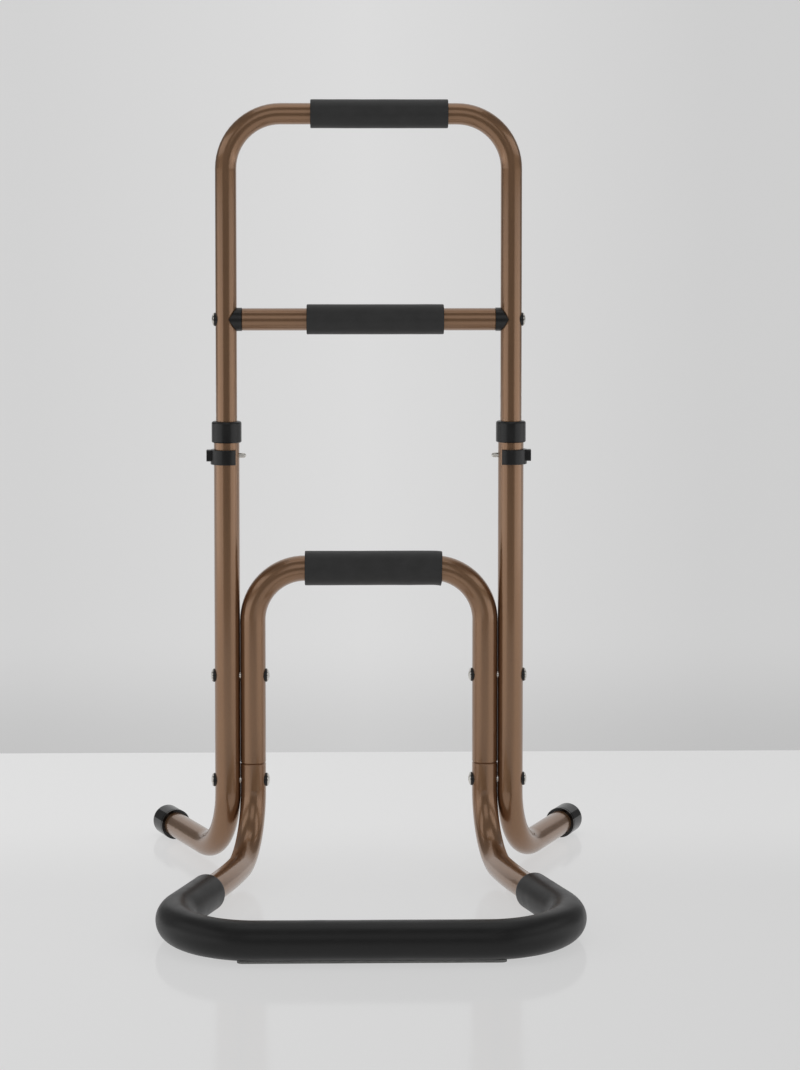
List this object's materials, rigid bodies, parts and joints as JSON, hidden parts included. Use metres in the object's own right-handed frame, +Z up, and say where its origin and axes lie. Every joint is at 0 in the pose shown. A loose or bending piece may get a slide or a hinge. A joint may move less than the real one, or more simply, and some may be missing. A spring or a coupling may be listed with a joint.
{
  "type": "bedside grab bar",
  "caption": "Free-standing bedside grab bar of bent steel tube with foam hand grips, a height-adjustable hand frame held by spring clip pins, and a foam-covered base loop.",
  "frame": {"origin": "on the floor, under the middle of the whole footprint: half way across, and half way from the front of the base foam to the back of the foot caps", "axes": "+Z up, +X to the right in the picture, along the hand bars, -Y towards the foam covered base loop, +Y towards the rear feet"},
  "size_m": [0.4508, 0.5063, 0.7639],
  "materials": {
    "frame_paint": "satin metallic bronze brown",
    "foam": "matte foam rubber",
    "strip_rubber": "matte grey",
    "cap_rubber": "smooth glossy black",
    "black_plastic": "satin",
    "bright_steel": "bright plated steel"
  },
  "bodies": {
    "base": {"left_leg_tube": "frame_paint", "right_leg_tube": "frame_paint", "left_foot_cap": "cap_rubber", "right_foot_cap": "cap_rubber", "left_collar": "black_plastic", "right_collar": "black_plastic", "arch_tube": "frame_paint", "arch_grip": "foam", "base_loop_tube": "frame_paint", "base_foam": "foam", "anti_slip_strip": "strip_rubber", "frame_bolts": "bright_steel", "frame_bolt_washers": "black_plastic", "frame_dome_nuts": "bright_steel", "tube_spacers": "bright_steel"},
    "upper_frame": {"upper_frame_tube": "frame_paint", "top_grip": "foam", "rung_tube": "frame_paint", "rung_grip": "foam", "left_rung_saddle": "black_plastic", "right_rung_saddle": "black_plastic", "rung_bolts": "bright_steel", "rung_bolt_washers": "black_plastic", "rung_insert_nuts": "bright_steel", "leg_end_glides": "black_plastic"},
    "left_lock": {"left_lock_clip": "black_plastic", "left_lock_pin": "bright_steel"},
    "right_lock": {"right_lock_clip": "black_plastic", "right_lock_pin": "bright_steel"}
  },
  "joints": [
    {"name": "height_adjust", "type": "slide", "parent": "base", "child": "upper_frame", "axis": [0, 0, 1], "range_m": [-0.06, 0.06]},
    {"name": "left_pin_pull", "type": "slide", "parent": "base", "child": "left_lock", "axis": [-1, 0, 0], "range_m": [0, 0.04], "deforming": ["left_lock_clip"]},
    {"name": "right_pin_pull", "type": "slide", "parent": "base", "child": "right_lock", "axis": [1, 0, 0], "range_m": [0, 0.04], "deforming": ["right_lock_clip"]}
  ]
}
